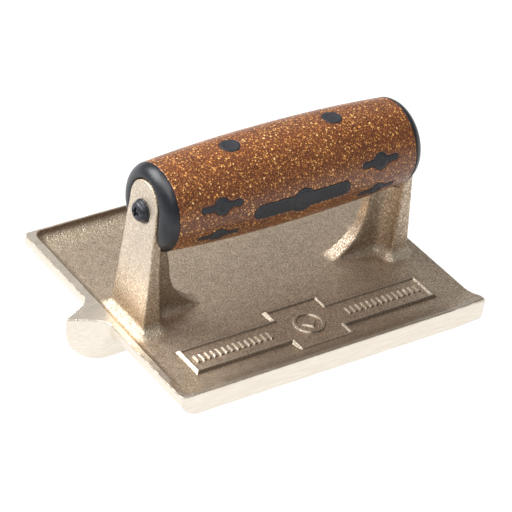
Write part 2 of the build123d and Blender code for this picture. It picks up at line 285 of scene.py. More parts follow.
def net(field, axes):
    """Zero surface of a field: one point in each grid cell that it crosses, four cells to a face.

    A point is the mean of the crossings on its cell's edges, moved down the gradient to the surface.
    Returns points, quads and unit normals.
    """
    values = field(*np.meshgrid(*axes, indexing="ij"))
    inside = values < 0
    shape = tuple(len(a) - 1 for a in axes)
    count = np.zeros(shape, np.int8)
    for i in (0, 1):
        for j in (0, 1):
            for k in (0, 1):
                count += inside[i:i + shape[0], j:j + shape[1], k:k + shape[2]]
    active = (count > 0) & (count < 8)
    cells = np.argwhere(active)
    number = np.full(shape, -1)
    number[active] = np.arange(len(cells))

    def place(corner):
        return np.stack([axes[i][corner[:, i]] for i in range(3)], 1)

    total = np.zeros((len(cells), 3))
    hits = np.zeros((len(cells), 1))
    for axis in range(3):
        for a in (0, 1):
            for b in (0, 1):
                start = cells.copy()
                start[:, (axis + 1) % 3] += a
                start[:, (axis + 2) % 3] += b
                end = start.copy()
                end[:, axis] += 1
                first = values[tuple(start.T)]
                last = values[tuple(end.T)]
                cross = (first < 0) != (last < 0)
                t = np.where(cross, first / np.where(cross, first - last, 1), 0)[:, None]
                total += cross[:, None] * (place(start) * (1 - t) + place(end) * t)
                hits += cross[:, None]
    points = total / hits

    quads = []
    for axis in range(3):
        b, c = (axis + 1) % 3, (axis + 2) % 3
        low = np.moveaxis(inside, (axis, b, c), (0, 1, 2))
        change = low[:-1, 1:-1, 1:-1] != low[1:, 1:-1, 1:-1]
        where = np.argwhere(change)
        outward = low[:-1, 1:-1, 1:-1][change]
        corner = np.zeros((len(where), 3), int)
        corner[:, axis], corner[:, b], corner[:, c] = where[:, 0], where[:, 1] + 1, where[:, 2] + 1
        ring = []
        for db, dc in ((-1, -1), (0, -1), (0, 0), (-1, 0)):
            cell = corner.copy()
            cell[:, b] += db
            cell[:, c] += dc
            ring.append(number[tuple(cell.T)])
        ring = np.stack(ring, 1)
        ring[~outward] = ring[~outward][:, ::-1]
        quads.append(ring)
    quads = np.concatenate(quads)

    for _ in range(4):
        g = slope(field, points)
        step = field(*points.T)[:, None] * g / np.maximum((g * g).sum(1, keepdims=True), 0.2)
        points = points - np.clip(step, -0.3, 0.3)
    g = slope(field, points)
    return points, quads, g / np.maximum(np.linalg.norm(g, axis=1, keepdims=True), 1e-6)


# ---------------------------------------------------------------- meshes

def piece(name, points, faces, body, material, stands_for=(), normals=None, marks=None):
    """A mesh object from points in millimetres, on its body and the nodes it stands for.

    Marks are numbers from 0 to 1 at each point, which the material reads by name.
    """
    mesh = bpy.data.meshes.new(name)
    mesh.from_pydata((points * MM).tolist(), [], faces.tolist())
    mesh.polygons.foreach_set("use_smooth", np.ones(len(mesh.polygons), bool))
    for label, values in (marks or {}).items():
        layer = mesh.attributes.new(label, "FLOAT", "POINT")
        layer.data.foreach_set("value", values.astype(np.float32))
    if normals is not None:
        mesh.normals_split_custom_set_from_vertices(normals.tolist())
    mesh.update()
    mesh.materials.append(material)
    made = bpy.data.objects.new(name, mesh)
    bpy.context.scene.collection.objects.link(made)
    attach(made, body)
    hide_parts(*stands_for)
    return made


def sharpen(made, degrees=30):
    """Flat shading across edges sharper than this angle."""
    made.data.set_sharp_from_angle(angle=math.radians(degrees))


def tube_faces(rows, columns, ring=False):
    """Quads of a grid of points whose columns close on themselves, and whose rows do too in a ring."""
    i, j = np.meshgrid(np.arange(rows if ring else rows - 1), np.arange(columns), indexing="ij")
    i, j = i.ravel(), j.ravel()
    down, across = (i + 1) % rows, (j + 1) % columns
    return np.stack([i * columns + j, i * columns + across, down * columns + across, down * columns + j], 1)


def on_grip(u, angle, radius):
    """Point at distance u along the grip and a radius from its axis.

    The angle is from straight up, and positive towards the front.
    """
    x = GRIP_X + u + 0 * angle
    y = GRIP_Y - radius * np.sin(angle)
    z = GRIP_Z + radius * np.cos(angle)
    return np.stack([x, y, z], -1)


def lathe_row(u, radius, angle):
    """One ring of points round the grip's axis."""
    return on_grip(u + 0 * angle, angle, radius + 0 * angle)


def crown_radius(u):
    """Radius of the crowned grip at u: full at the middle, less by a power law towards the ends."""
    return GRIP_RADIUS - GRIP_CROWN * (np.abs(u) / SLEEVE_HALF) ** GRIP_CROWN_POWER


# ---------------------------------------------------------------- casting

def tray_surface(x, y, z):
    """Solid below the rim and the tray floor: three walls fillet into the floor, and the heel is open.

    Each wall is a plane that leans outward as it rises, and the front rim widens towards the heel.
    """
    deep = RIM_Z - z
    toe_rim = TOE_RIM + TOE_RIM_TAPER * y / HALF_WIDTH
    toe_wall = TOE_X + toe_rim + TOE_LEAN * deep - x
    back_wall = y - (HALF_WIDTH - BACK_RIM) + BACK_LEAN * deep
    front_lean = FRONT_SLOPE / TRAY_DEPTH
    front_rim = FRONT_RIM + FRONT_RIM_SWELL * ease(x, HEEL_X - 18, HEEL_X - 5)
    front_wall = (front_rim - HALF_WIDTH - y + front_lean * deep) / math.hypot(1, front_lean)
    walls = both(toe_wall, back_wall, TRAY_BACK_CORNER)
    walls = both(walls, front_wall, TRAY_FRONT_CORNER)
    hollow = both(walls, FLOOR_Z - z, TRAY_FILLET)
    edge = RIM_EDGE + FRONT_RIM_EDGE * ease(-y, HALF_WIDTH - 14, HALF_WIDTH - 9)
    return both(-hollow, z - RIM_Z, edge)


def post_front(y, z):
    """Front outline of a post: sides that taper upward to a round top."""
    taper = (POST_BASE_HALF - POST_TOP_RADIUS) / (POST_ARCH_Z - FLOOR_Z)
    half = POST_TOP_RADIUS + taper * (POST_ARCH_Z - z)
    sides = (np.abs(y - GRIP_Y) - half) / math.hypot(1, taper)
    arch = np.hypot(y - GRIP_Y, z - POST_ARCH_Z) - POST_TOP_RADIUS
    return np.where(z > POST_ARCH_Z, arch, sides)


def post(x, y, z, side):
    """A post and its web: a tapering blade, and a rib that sweeps to the floor on a circle.

    The rib is filleted to the blade's inner face before the front outline trims both, and its ridge
    sinks a little on the way to its end, so that it dies out in the floor.
    """
    u = side * (x - GRIP_X)
    outer = u - (POST_BASE_OUT - POST_DRAFT * (z - FLOOR_Z))
    rise = np.clip((z - FLOOR_Z) / (POST_KNEE_Z - FLOOR_Z), 0, 1)
    inner = POST_BASE_IN + (POST_TOP_IN - POST_BASE_IN) * rise - u
    lean = (WEB_TOP_U - WEB_CENTRE_U - WEB_RADIUS) / (WEB_TOP_Z - WEB_CENTRE_Z)
    upright = WEB_CENTRE_U + WEB_RADIUS + lean * (z - WEB_CENTRE_Z) - u
    sweep = WEB_RADIUS - np.hypot(u - WEB_CENTRE_U, z - WEB_CENTRE_Z)
    ridge = np.where(z > WEB_CENTRE_Z, upright, sweep)
    ridge = np.maximum(ridge, WEB_CENTRE_U - u)
    ridge = ridge + WEB_FADE * ease(-u, -WEB_FADE_U, -WEB_CENTRE_U)
    flank = np.abs(y - GRIP_Y) - WEB_HALF - WEB_DRAFT * (WEB_TOP_Z - z)
    inward = either(inner, both(flank, ridge, WEB_EDGE), WEB_FILLET)
    return both(both(post_front(y, z), outer, POST_OUTER_EDGE), inward, POST_INNER_EDGE)


def underside(x, y, z):
    """Solid above the sole, inside the plate's outline, with the bit below and the bow in front.

    The bow widens from its tip in proportion to x and splays upward; its keel is a quarter circle.
    """
    toe = TOE_X - x
    side = np.abs(y) - HALF_WIDTH
    outline = both(side, toe, CORNER_ROUND)
    turned_up = both(toe, SOLE_Z - z, TOE_ROUND)
    slab = np.maximum(np.maximum(outline, turned_up), both(side, SOLE_Z - z, SOLE_EDGE))
    splay = BOW_SPLAY * np.clip((z - SOLE_Z + BIT_SHOULDER) / BIT_SHOULDER, 0, 1)
    taper = np.clip((x - BOW_X + BOW_TIP) / (TOE_X - BOW_X + BOW_TIP), 0, 1)
    bow_half = (BIT_HALF + splay + BOW_SPARE) * taper
    blend = ease(x, TOE_X - 1, TOE_X + 11)
    half = bow_half * (1 - blend) + BIT_HALF * blend
    keel = both(BOW_X - x, -z, BOW_KEEL)
    blade = both(np.abs(y - BIT_Y) - half, keel, np.clip(0.95 * half, 0.7, BIT_HALF))
    shoulder = BOW_SHOULDER + (BIT_SHOULDER - BOW_SHOULDER) * ease(x, TOE_X, TOE_X + 10)
    whole = either(slab, blade, shoulder)
    heel_round = np.interp(z, [0, SOLE_Z, RIM_Z], HEEL_ROUNDS)
    whole = both(whole, x - HEEL_X, heel_round)
    return both(whole, side, SIDE_EDGE + SIDE_EDGE_SWELL * ease(x, HEEL_X - 12, HEEL_X - 4))


def grip_room(x, y, z):
    """The space that the grip and its caps fill, which the webs stay out of."""
    reach = np.abs(x - GRIP_X) - POST_TOP_IN
    return np.maximum(np.hypot(y - GRIP_Y, z - GRIP_Z) - GRIP_RADIUS - GRIP_CLEARANCE, reach)


def foot_fillet(x):
    """Fillet radius round a post's foot, less along the web until it dies out in the floor."""
    return FOOT_FILLET_LEAST + FOOT_FILLET * ease(np.abs(x - GRIP_X), WEB_CENTRE_U + 3, POST_BASE_IN - 6)


def casting(x, y, z):
    """The whole casting: tray and posts filleted together, cut to the plate's underside and outline.

    The grip's room, the screw holes and the seats of the washers are then taken out.
    """
    top = tray_surface(x, y, z)
    for side in SIDES.values():
        top = either(top, post(x, y, z, side), foot_fillet(x))
    top = top + SKIN_RIPPLE * ripple(x, y, z, SKIN_RIPPLE_SIZE)
    heel_corner = ease(x, HEEL_X - 12, HEEL_X - 3) * ease(-y, HALF_WIDTH - 12, HALF_WIDTH - 6)
    solid = both(top, underside(x, y, z), 0.4 + 1.3 * heel_corner)
    solid = np.maximum(solid, -grip_room(x, y, z))
    drill = np.hypot(y - GRIP_Y, z - GRIP_Z)
    seat = np.maximum(drill - SEAT_RADIUS, SEAT_U - np.abs(x - GRIP_X))
    return np.maximum(solid, -np.minimum(drill - HOLE_RADIUS, seat))


def casting_marks(points, normals):
    """How brightly ground each point is, how deep it lies in a fillet, and how much painted shade it takes.

    Sides, sole and bit are ground; the rim's flat top and the posts' outer faces are made about half as bright.
    Painted shade lies round the foot of the panel, on the back wall and on the webs.
    """
    x, y, z = points.T
    u = np.abs(x - GRIP_X)
    top = tray_surface(x, y, z)
    posts = np.minimum(post(x, y, z, -1), post(x, y, z, 1))
    joined = either(top, posts, foot_fillet(x))
    ground = ease(underside(x, y, z) - joined, -0.12, 0.12)
    cast = 1 - ground

    at_rim = ease(z, RIM_Z - 0.35, RIM_Z - 0.15) * ease(-z, -RIM_Z - 1.2, -RIM_Z - 0.6)
    at_toe = ease(-x, -TOE_X - TOE_RIM - 3, -TOE_X - TOE_RIM - 1)
    rim_top = ease(normals[:, 2], 0.9, 0.98) * at_rim * (0.45 + 0.35 * at_toe)
    outward = ease(np.abs(normals[:, 0]), 0.7, 0.95) * ease(u, POST_TOP_IN + 1, POST_TOP_IN + 2)
    post_face = 0.36 * outward * ease(z, RIM_Z + 3, RIM_Z + 22)

    foot = np.clip((np.minimum(top, posts) - joined) / 1.2, 0, 1)
    foot = foot * (0.1 + 0.9 * ease(u, POST_BASE_IN - 4, POST_BASE_IN + 3))
    foot = foot * ease(-z, -RIM_Z - 9, -RIM_Z - 1)
    back_foot = ease(y, HALF_WIDTH - 13, HALF_WIDTH - 8) * ease(-z, -FLOOR_Z - 2.4, -FLOOR_Z - 0.8)

    # Painted shade: darkening in the crease round the panel's foot, on the back wall that faces the front, and on
    # the webs that the grip shades.
    panel_foot = ease(panel_height(x, y)[1], -1.6, 0.2) * (z < FLOOR_Z + 1)
    back_wall = ease(-normals[:, 1], 0.5, 0.9) * ease(y, HALF_WIDTH - 9, HALF_WIDTH - 4)
    web = ease(-u, -POST_BASE_IN, 4 - POST_BASE_IN) * ease(z, FLOOR_Z + 0.4, FLOOR_Z + 3)
    return {
        "ground": np.maximum(ground, np.maximum(rim_top, post_face)),
        "fillet": np.maximum(foot, 0.35 * back_foot) * cast,
        "grime": np.maximum(0.45 * panel_foot, np.maximum(1.1 * back_wall, 0.6 * web) * cast),
    }


def build_casting(material):
    """Grid lines crowd at the bow, the posts and the rims, and spread out between them."""
    along = ruler((-77.5, 0.45), (-58, 0.55), (-44, 0.7), (-30, 1.15),
                  (40, 1.15), (54, 0.7), (70, 0.7), (77.5, 0.45))
    across = ruler((-58.2, 0.4), (-55, 0.6), (-45, 1.0), (-20, 0.9), (-14, 0.6),
                   (8, 0.6), (20, 1.1), (48, 1.0), (58.2, 0.4))
    upward = ruler((-0.9, 0.5), (11, 0.7), (14, 0.5), (24, 0.45),
                   (36, 0.9), (60, 1.0), (68, 0.7), (81, 0.5))
    points, quads, normals = net(casting, (along, across, upward))
    return piece("bronze_casting", points, quads, "tool", material,
                 ["groover_body"], normals, casting_marks(points, normals))


# ---------------------------------------------------------------- raised panel

def panel_height(x, y):
    """Height above the tray floor, and the distance m inside the cross-shaped outline.

    The border climbs a bevel, runs level and drops to the field; ring, diamond and ticks stand on the field.
    """
    a, b = np.abs(x - PANEL_X), np.abs(y - PANEL_Y)
    bar = np.minimum(PANEL_LENGTH / 2 - a, PANEL_WIDTH / 2 - b)
    block = np.minimum(PANEL_BLOCK / 2 - a, PANEL_BLOCK_WIDTH / 2 - b)
    m = np.maximum(bar, block)
    climb = np.minimum(m / PANEL_BEVEL, 1)
    drop = np.clip((m - PANEL_BORDER + PANEL_DROP / 2) / PANEL_DROP, 0, 1)
    height = PANEL_RAISE * climb - (PANEL_RAISE - PANEL_FIELD) * drop
    ring = np.abs(np.hypot(a, b) - EMBLEM_RING + EMBLEM_LINE / 2) - EMBLEM_LINE / 2
    diamond = (a + b) * math.sqrt(0.5) - EMBLEM_DIAMOND / 2
    nearest = np.clip(np.round((a - TICK_START) / TICK_SPACING), 0, TICK_COUNT - 1)
    sideways = np.abs(a - TICK_START - nearest * TICK_SPACING) - TICK_WIDTH / 2
    tick = np.maximum(sideways, b - TICK_LENGTH / 2)
    mark = np.minimum(np.minimum(ring, diamond), tick)
    stand = PANEL_FIELD + (PANEL_RAISE - PANEL_FIELD) * np.clip(0.5 - mark / MARK_BEVEL, 0, 1)
    return np.where(mark < MARK_BEVEL / 2, np.maximum(height, stand), height), m


def panel(x, y, z):
    """Solid between the panel's relief and a little below the tray floor, inside its outline."""
    height, m = panel_height(x, y)
    relief = 0.75 * (z - FLOOR_Z - height)
    return np.maximum(np.maximum(relief, FLOOR_Z - PANEL_SUNK - z), -m - 0.3)


def build_panel(material):
    """Faces towards the toe get a painted highlight; the other steep ones get painted shade."""
    reach_x = PANEL_LENGTH / 2 + 1
    reach_y = PANEL_BLOCK_WIDTH / 2 + 1
    axes = (
        ruler((PANEL_X - reach_x, 0.34), (PANEL_X + reach_x, 0.34)),
        ruler((PANEL_Y - reach_y, 0.34), (PANEL_Y + reach_y, 0.34)),
        ruler((FLOOR_Z - 0.8, 0.2), (FLOOR_Z + PANEL_RAISE + 0.4, 0.2)),
    )
    points, quads, normals = net(panel, axes)
    raised = points[:, 2] - FLOOR_Z
    top = ease(raised, PANEL_RAISE - 0.25, PANEL_RAISE - 0.05)
    steep = 1 - ease(normals[:, 2], 0.6, 0.95)
    toeward = ease(-normals[:, 0], 0.3, 0.6)
    # Painted highlight on the faces turned to the toe, through the ground and fillet marks; painted shade on the
    # steep faces turned away from it.
    marks = {
        "ground": np.maximum(0.16 * top, 0.45 * toeward),
        "fillet": 0.5 * toeward,
        "grime": 1.25 * steep * (1 - toeward) * (1 - 0.4 * ease(raised, 0.7, PANEL_RAISE)),
    }
    return piece("raised_panel", points, quads, "tool", material,
                 ["groover_body"], normals, marks)


# ---------------------------------------------------------------- grip

INLAYS = {}
for end, side in SIDES.items():
    INLAYS[f"top_dot_{end}"] = (side * DOT_OFFSET, 0.0, "dot")
    for face, turn in (("front", 1), ("rear", -1)):
        INLAYS[f"upper_badge_{face}_{end}"] = (side * BADGE_OFFSET, turn * UPPER_ANGLE, "badge")
        INLAYS[f"lower_badge_{face}_{end}"] = (side * BADGE_OFFSET, turn * LOWER_ANGLE, "badge")
INLAYS["label_inlay_front"] = (0.0, LABEL_ANGLE, "label")
INLAYS["label_inlay_rear"] = (0.0, -LABEL_ANGLE, "label")

# Length of the bar, its width, and the radius of the disc at its middle
INLAY_SIZES = {"dot": (0.0, 0.0, 4.0), "badge": (17.6, 2.7, 3.5), "label": (43.5, 6.6, 5.3)}


def inlay_outline(a, b, kind):
    """Distance outside an inlay's outline: a round-ended bar joined to a disc at its middle."""
    length, bar, disc = INLAY_SIZES[kind]
    round_bar = np.hypot(np.maximum(np.abs(a) - (length - bar) / 2, 0), b) - bar / 2
    return np.minimum(round_bar, np.hypot(a, b) - disc)


def sleeve_radius(u, angle):
    """The crown, less a pocket under each inlay whose walls ease down over half a millimetre."""
    radius = crown_radius(u)
    depth = 0 * (u + angle)
    for centre_u, centre_angle, kind in INLAYS.values():
        turn = (angle - math.radians(centre_angle) + math.pi) % (2 * math.pi) - math.pi
        outside = inlay_outline(u - centre_u, turn * radius, kind)
        depth = np.maximum(depth, POCKET_DEPTH * ease(-outside, -0.14, 0.4))
    return radius - depth


def build_sleeve(material):
    """Outer skin on a grid of length and angle; quarter-round ends and a bore close it into a ring."""
    flat = SLEEVE_HALF - SLEEVE_EDGE
    u = np.linspace(-flat, flat, SLEEVE_ROWS)[:, None]
    angle = (np.arange(SLEEVE_COLUMNS) * (2 * math.pi / SLEEVE_COLUMNS))[None, :]
    end_radius = crown_radius(SLEEVE_HALF)
    quarter = []
    for turn in np.radians([30, 60, 90]):
        quarter.append((flat + SLEEVE_EDGE * math.sin(turn), end_radius - SLEEVE_EDGE * (1 - math.cos(turn))))
    rows = [on_grip(u, angle, sleeve_radius(u, angle))]
    rows += [lathe_row(end, radius, angle) for end, radius in quarter]
    rows += [lathe_row(side * SLEEVE_HALF, SLEEVE_BORE, angle) for side in (1, -1)]
    rows += [lathe_row(-end, radius, angle) for end, radius in quarter[::-1]]
    grid = np.concatenate(rows)
    quads = tube_faces(len(grid), SLEEVE_COLUMNS, ring=True)
    return piece("speckled_sleeve", grid.reshape(-1, 3), quads, "tool", material,
                 ["grip_sleeve"])


def inlay_field(kind):
    """Inlay in grip coordinates: length a, arc b, and height w above the crown.

    A dot is dished, a badge carries a ring, and a label carries a ring between two rows of fine ribs.
    """
    length, bar, disc = INLAY_SIZES[kind]

    def field(a, b, w):
        outline = inlay_outline(a, b, kind) + INLAY_GAP
        inward = disc - np.hypot(a, b)
        top = INLAY_RISE + 0 * a
        if kind == "dot":
            top = top - DISH_DEPTH * ease(inward, 0.7, 2.6)
        if kind == "badge":
            top = top + RING_RISE * ease(inward, 0.5, 1.3) - DISH_DEPTH * ease(inward, 1.9, 2.3)
        if kind == "label":
            rib = ease(np.cos(a * (2 * math.pi / RIB_SPACING)), -0.1, 0.5)
            rows = ease(np.abs(a), disc + 1.2, disc + 1.6) * ease(length / 2 - np.abs(a), 1.9, 2.3)
            top = top + RIB_RISE * rib * rows * ease(bar / 2 - np.abs(b), 1.0, 1.4)
            top = top + LABEL_RING_RISE * (ease(inward, 1.0, 1.5) - ease(inward, 2.4, 2.9))
        return np.maximum(both(outline, w - top, INLAY_EDGE), -INLAY_DEPTH - w)

    return field


def build_inlays(material):
    """Each inlay is found in flat grip coordinates, then wrapped round the crown."""
    spacing = 0.26
    for kind, (length, bar, disc) in INLAY_SIZES.items():
        half_a = max(length / 2, disc) + 0.4
        half_b = max(bar / 2, disc) + 0.4
        axes = (
            ruler((-half_a, spacing), (half_a, spacing)),
            ruler((-half_b, spacing), (half_b, spacing)),
            ruler((-INLAY_DEPTH - 0.4, 0.5), (-0.3, 0.14), (0.7, 0.14)),
        )
        points, quads, normals = net(inlay_field(kind), axes)
        for name, (centre_u, centre_angle, its_kind) in INLAYS.items():
            if its_kind == kind:
                wrapped, turned = wrap(points, normals, centre_u, math.radians(centre_angle))
                piece("soft_" + name, wrapped, quads[:, ::-1], "tool", material,
                      [name], turned)


def wrap(points, normals, centre_u, centre_angle):
    """Flat points and normals carried onto the crown: arc length over radius gives the angle.

    This turns the flat shape over, so its faces are listed backwards.
    """
    a, b, w = points.T
    radius = crown_radius(centre_u + a)
    angle = centre_angle + b / radius
    along, across, out = normals.T
    turned = np.stack([
        along,
        -across * np.cos(angle) - out * np.sin(angle),
        -across * np.sin(angle) + out * np.cos(angle),
    ], 1)
    return on_grip(centre_u + a, angle, radius + w), turned


def cap_field(side):
    """Ring with a rounded outer corner, bored for the core and slotted from below for the post."""

    def field(x, y, z):
        u = side * (x - GRIP_X)
        away = np.hypot(y - GRIP_Y, z - GRIP_Z)
        ring = both(u - CAP_END_U, away - CAP_RADIUS, CAP_ROUND)
        ring = both(ring, SLEEVE_HALF + 0.02 - u, CAP_INNER_EDGE)
        slot = np.maximum(post_front(y, z) - CAP_GAP, POST_TOP_IN - u)
        return np.maximum(both(ring, -slot, CAP_SLOT_EDGE), BOSS_RADIUS - away)

    return field


def build_caps(material):
    """A cap at each end, each found on its own grid."""
    reach = CAP_RADIUS + 1
    for end, side in SIDES.items():
        near, far = sorted((GRIP_X + side * (SLEEVE_HALF - 0.7), GRIP_X + side * (CAP_END_U + 0.8)))
        axes = (
            ruler((near, 0.3), (far, 0.3)),
            ruler((GRIP_Y - reach, 0.42), (GRIP_Y + reach, 0.42)),
            ruler((GRIP_Z - reach, 0.42), (GRIP_Z + reach, 0.42)),
        )
        points, quads, normals = net(cap_field(side), axes)
        piece(f"rounded_cap_{end}", points, quads, "tool", material,
              [f"end_cap_{end}"], normals)


# ---------------------------------------------------------------- screws, washers, inserts

def lathe(profile, side, columns, wave=None):
    """A closed profile of (u, radius) turned about the grip's axis; wave may change the radius by angle."""
    loop = np.array(profile if side > 0 else profile[::-1], float)
    angle = (np.arange(columns) * (2 * math.pi / columns))[None, :]
    radius = loop[:, 1:2] + (0 * angle if wave is None else wave(loop[:, 0:1], angle))
    points = on_grip(side * loop[:, 0:1], angle, radius)
    return points.reshape(-1, 3), tube_faces(len(loop), columns, ring=True)


def head_field(side):
    """Pan head on a thin flange, with a tapering cross recess; its top is part of a sphere."""

    def field(x, y, z):
        u = side * (x - GRIP_X) - HEAD_U
        a, b = np.abs(y - GRIP_Y), np.abs(z - GRIP_Z)
        away = np.hypot(a, b)
        dome = np.hypot(u - HEAD_HEIGHT + HEAD_DOME, away) - HEAD_DOME
        head = both(both(away - HEAD_RADIUS, dome, HEAD_EDGE), -u, 0.1)
        flange = both(np.maximum(away - HEAD_RADIUS - FLANGE_REACH, -u), u - FLANGE_HEIGHT, 0.2)
        head = either(head, flange, 0.25)
        deep = (HEAD_HEIGHT - u) / RECESS_DEPTH
        span = RECESS_SPAN / 2 * (1 - 0.45 * deep)
        slot = RECESS_SLOT / 2 * (1.1 - 0.35 * deep)
        cross = np.minimum(np.maximum(a - span, b - slot), np.maximum(b - span, a - slot))
        return both(head, -np.maximum(cross, HEAD_HEIGHT - RECESS_DEPTH - u), 0.12)

    return field


def build_screws(material):
    """A head and a thread for each end, both on the screw's body."""
    reach = HEAD_RADIUS + 0.7
    for end, side in SIDES.items():
        near, far = sorted((GRIP_X + side * (HEAD_U - 0.4), GRIP_X + side * (HEAD_U + HEAD_HEIGHT + 0.4)))
        axes = (
            ruler((near, 0.13), (far, 0.13)),
            ruler((GRIP_Y - reach, 0.15), (GRIP_Y + reach, 0.15)),
            ruler((GRIP_Z - reach, 0.15), (GRIP_Z + reach, 0.15)),
        )
        points, quads, normals = net(head_field(side), axes)
        piece(f"pan_head_{end}", points, quads, f"{end}_screw", material,
              [f"handle_screw_{end}"], normals)
        points, quads = thread(side)
        piece(f"thread_{end}", points, quads, f"{end}_screw", material,
              [f"handle_screw_{end}"])


def thread(side):
    """Shank on a grid of length and angle, whose radius follows a right-hand helix.

    The ridge rises and falls in straight lines over each pitch, and the tip narrows over its last millimetre.
    """
    low, high = sorted((side * (HEAD_U - SHANK_LENGTH), side * (HEAD_U + 0.3)))
    u = np.arange(low, high, THREAD_PITCH / THREAD_ROWS_PER_PITCH)[:, None]
    turn = (np.arange(THREAD_COLUMNS) * (2 * math.pi / THREAD_COLUMNS))[None, :]
    phase = (u / THREAD_PITCH - turn / (2 * math.pi)) % 1
    ridge = np.clip(1.9 - 3.6 * np.abs(phase - 0.5), 0, 1)
    from_tip = side * u - (HEAD_U - SHANK_LENGTH)
    radius = THREAD_ROOT + (THREAD_RADIUS - THREAD_ROOT) * ridge
    radius = radius * (SHANK_TIP + (1 - SHANK_TIP) * ease(from_tip, 0, 1.0))
    rows = [
        thread_row(u[:1], turn, 0 * turn),
        thread_row(u, turn, radius),
        thread_row(u[-1:], turn, 0 * turn),
    ]
    return np.concatenate(rows).reshape(-1, 3), tube_faces(len(u) + 2, THREAD_COLUMNS)


def thread_row(u, turn, radius):
    """Points round the screw's axis, with the turn measured from the rear."""
    x = GRIP_X + u + 0 * turn
    y = GRIP_Y + radius * np.cos(turn)
    z = GRIP_Z + radius * np.sin(turn)
    return np.stack([x, y, z], -1)


def build_washers(material):
    """A flat ring with bevelled rims, as thick as its CAD node."""
    for end, side in SIDES.items():
        low, high = box_mm(f"screw_washer_{end}")
        inner, outer = sorted((side * (low[0] - GRIP_X), side * (high[0] - GRIP_X)))
        shoulder = WASHER_RADIUS - WASHER_BEVEL
        profile = [
            (inner, HOLE_RADIUS), (inner, shoulder), (inner + WASHER_BEVEL, WASHER_RADIUS),
            (outer - WASHER_BEVEL, WASHER_RADIUS), (outer, shoulder), (outer, HOLE_RADIUS),
        ]
        points, quads = lathe(profile, side, 64)
        sharpen(piece(f"flat_washer_{end}", points, quads, f"{end}_washer", material,
                      [f"screw_washer_{end}"]))


def build_inserts(material):
    """Flanged insert, knurled between two plain bands; the knurl is a cosine of the angle."""
    for end, side in SIDES.items():
        low, high = box_mm(f"threaded_insert_{end}")
        inner, outer = sorted((side * (low[0] - GRIP_X), side * (high[0] - GRIP_X)))
        flange = outer - 1.0
        knurl = np.linspace(inner + 1.2, flange - 1.2, 9)
        profile = [(inner, INSERT_BORE), (inner, INSERT_LEAD_RADIUS)]
        profile += [(inner + 0.3, INSERT_RADIUS), (inner + 1.1, INSERT_RADIUS)]
        profile += [(u, KNURL_RADIUS) for u in knurl]
        profile += [(flange - 1.1, INSERT_RADIUS), (flange, INSERT_RADIUS)]
        profile += [(flange, INSERT_FLANGE), (outer, INSERT_FLANGE), (outer, INSERT_BORE)]

        def wave(u, angle):
            ridged = ease(u, knurl[0] - 0.05, knurl[0]) * (1 - ease(u, knurl[-1], knurl[-1] + 0.05))
            return -KNURL_DEPTH * ridged * (0.5 + 0.5 * np.cos(KNURL_RIDGES * angle + 1.5 * u))

        points, quads = lathe(profile, side, 180, wave)
        sharpen(piece(f"knurled_insert_{end}", points, quads, "tool", material,
                      [f"threaded_insert_{end}"]))


# ---------------------------------------------------------------- camera, light and floor

CAMERA_PLACE = Vector((-0.52197, -0.67155, 0.62233))
CAMERA_AIM = Vector((0.0311, 0.0314, -0.0008))
CAMERA_ROLL = math.radians(7.43)
CAMERA_LENS = 191.8


def set_camera():
    """A long lens above the toe's near corner, rolled a little."""
    data = bpy.data.cameras.new("camera")
    data.sensor_width = 36
    data.lens = CAMERA_LENS
    data.clip_start, data.clip_end = 0.05, 50
    camera = bpy.data.objects.new("camera", data)
    bpy.context.scene.collection.objects.link(camera)
    ahead = (CAMERA_AIM - CAMERA_PLACE).normalized()
    level = ahead.cross(Vector((0, 0, 1))).normalized()
    rise = level.cross(ahead)
    right = level * math.cos(CAMERA_ROLL) + rise * math.sin(CAMERA_ROLL)
    turn = Matrix((right, right.cross(ahead), -ahead)).transposed()
    camera.matrix_world = Matrix.Translation(CAMERA_PLACE) @ turn.to_4x4()
    bpy.context.scene.camera = camera


# Softboxes: place, width and height in metres, and power in watts
SOFTBOXES = {
    "window": ((-0.47, 0.47, 0.65), (0.55, 0.5), 10.5),
    "ceiling": ((-0.42, -0.10, 0.83), (0.6, 0.6), 5.6),
    "backdrop": ((0.75, 1.05, 0.85), (1.4, 0.8), 1.1),
    "fill": ((-0.7, -0.75, 0.95), (0.45, 0.45), 1.0),
}
LIGHT_AIM = Vector((0, 0, 0.03))
ROOM_GREY = (0.25, 0.25, 0.255, 1)


def set_light():
    """Bright window low behind the toe, a soft ceiling, a weak fill in front, and a dim room."""
    for name, (place, size, power) in SOFTBOXES.items():
        data = bpy.data.lights.new(name, "AREA")
        data.shape = "RECTANGLE"
        data.size, data.size_y = size
        data.energy = power
        lamp = bpy.data.objects.new(name, data)
        bpy.context.scene.collection.objects.link(lamp)
        lamp.location = place
        lamp.rotation_euler = (LIGHT_AIM - Vector(place)).to_track_quat("-Z", "Y").to_euler()
    world = bpy.data.worlds.new("studio")
    world.use_nodes = True
    world.node_tree.nodes["Background"].inputs["Color"].default_value = ROOM_GREY
    bpy.context.scene.world = world
    bpy.context.scene.view_settings.view_transform = "Standard"
    bpy.context.scene.view_settings.look = "None"


FLOOR_REACH = 6.0
FLOOR_SIDES = 64


def set_floor():
    """A wide disc that reflects a little and glows evenly, so that it stays plain and pale."""
    f = Finish("white_sweep")
    diffuse = f.add("BsdfDiffuse", None, {"Color": (0.1, 0.1, 0.1, 1)})
    glow = f.add("Emission", None, {"Color": (1, 1, 1, 1), "Strength": 1.0})
    f.add_output(f.add("AddShader", None, {0: diffuse, 1: glow}))
    turns = np.arange(FLOOR_SIDES) * (2 * math.pi / FLOOR_SIDES)
    ring = np.stack([FLOOR_REACH * np.cos(turns), FLOOR_REACH * np.sin(turns), 0 * turns], 1)
    mesh = bpy.data.meshes.new("floor")
    mesh.from_pydata(ring.tolist(), [], [list(range(FLOOR_SIDES))])
    mesh.materials.append(f.material)
    floor = bpy.data.objects.new("floor", mesh)
    bpy.context.scene.collection.objects.link(floor)


# ---------------------------------------------------------------- finishes


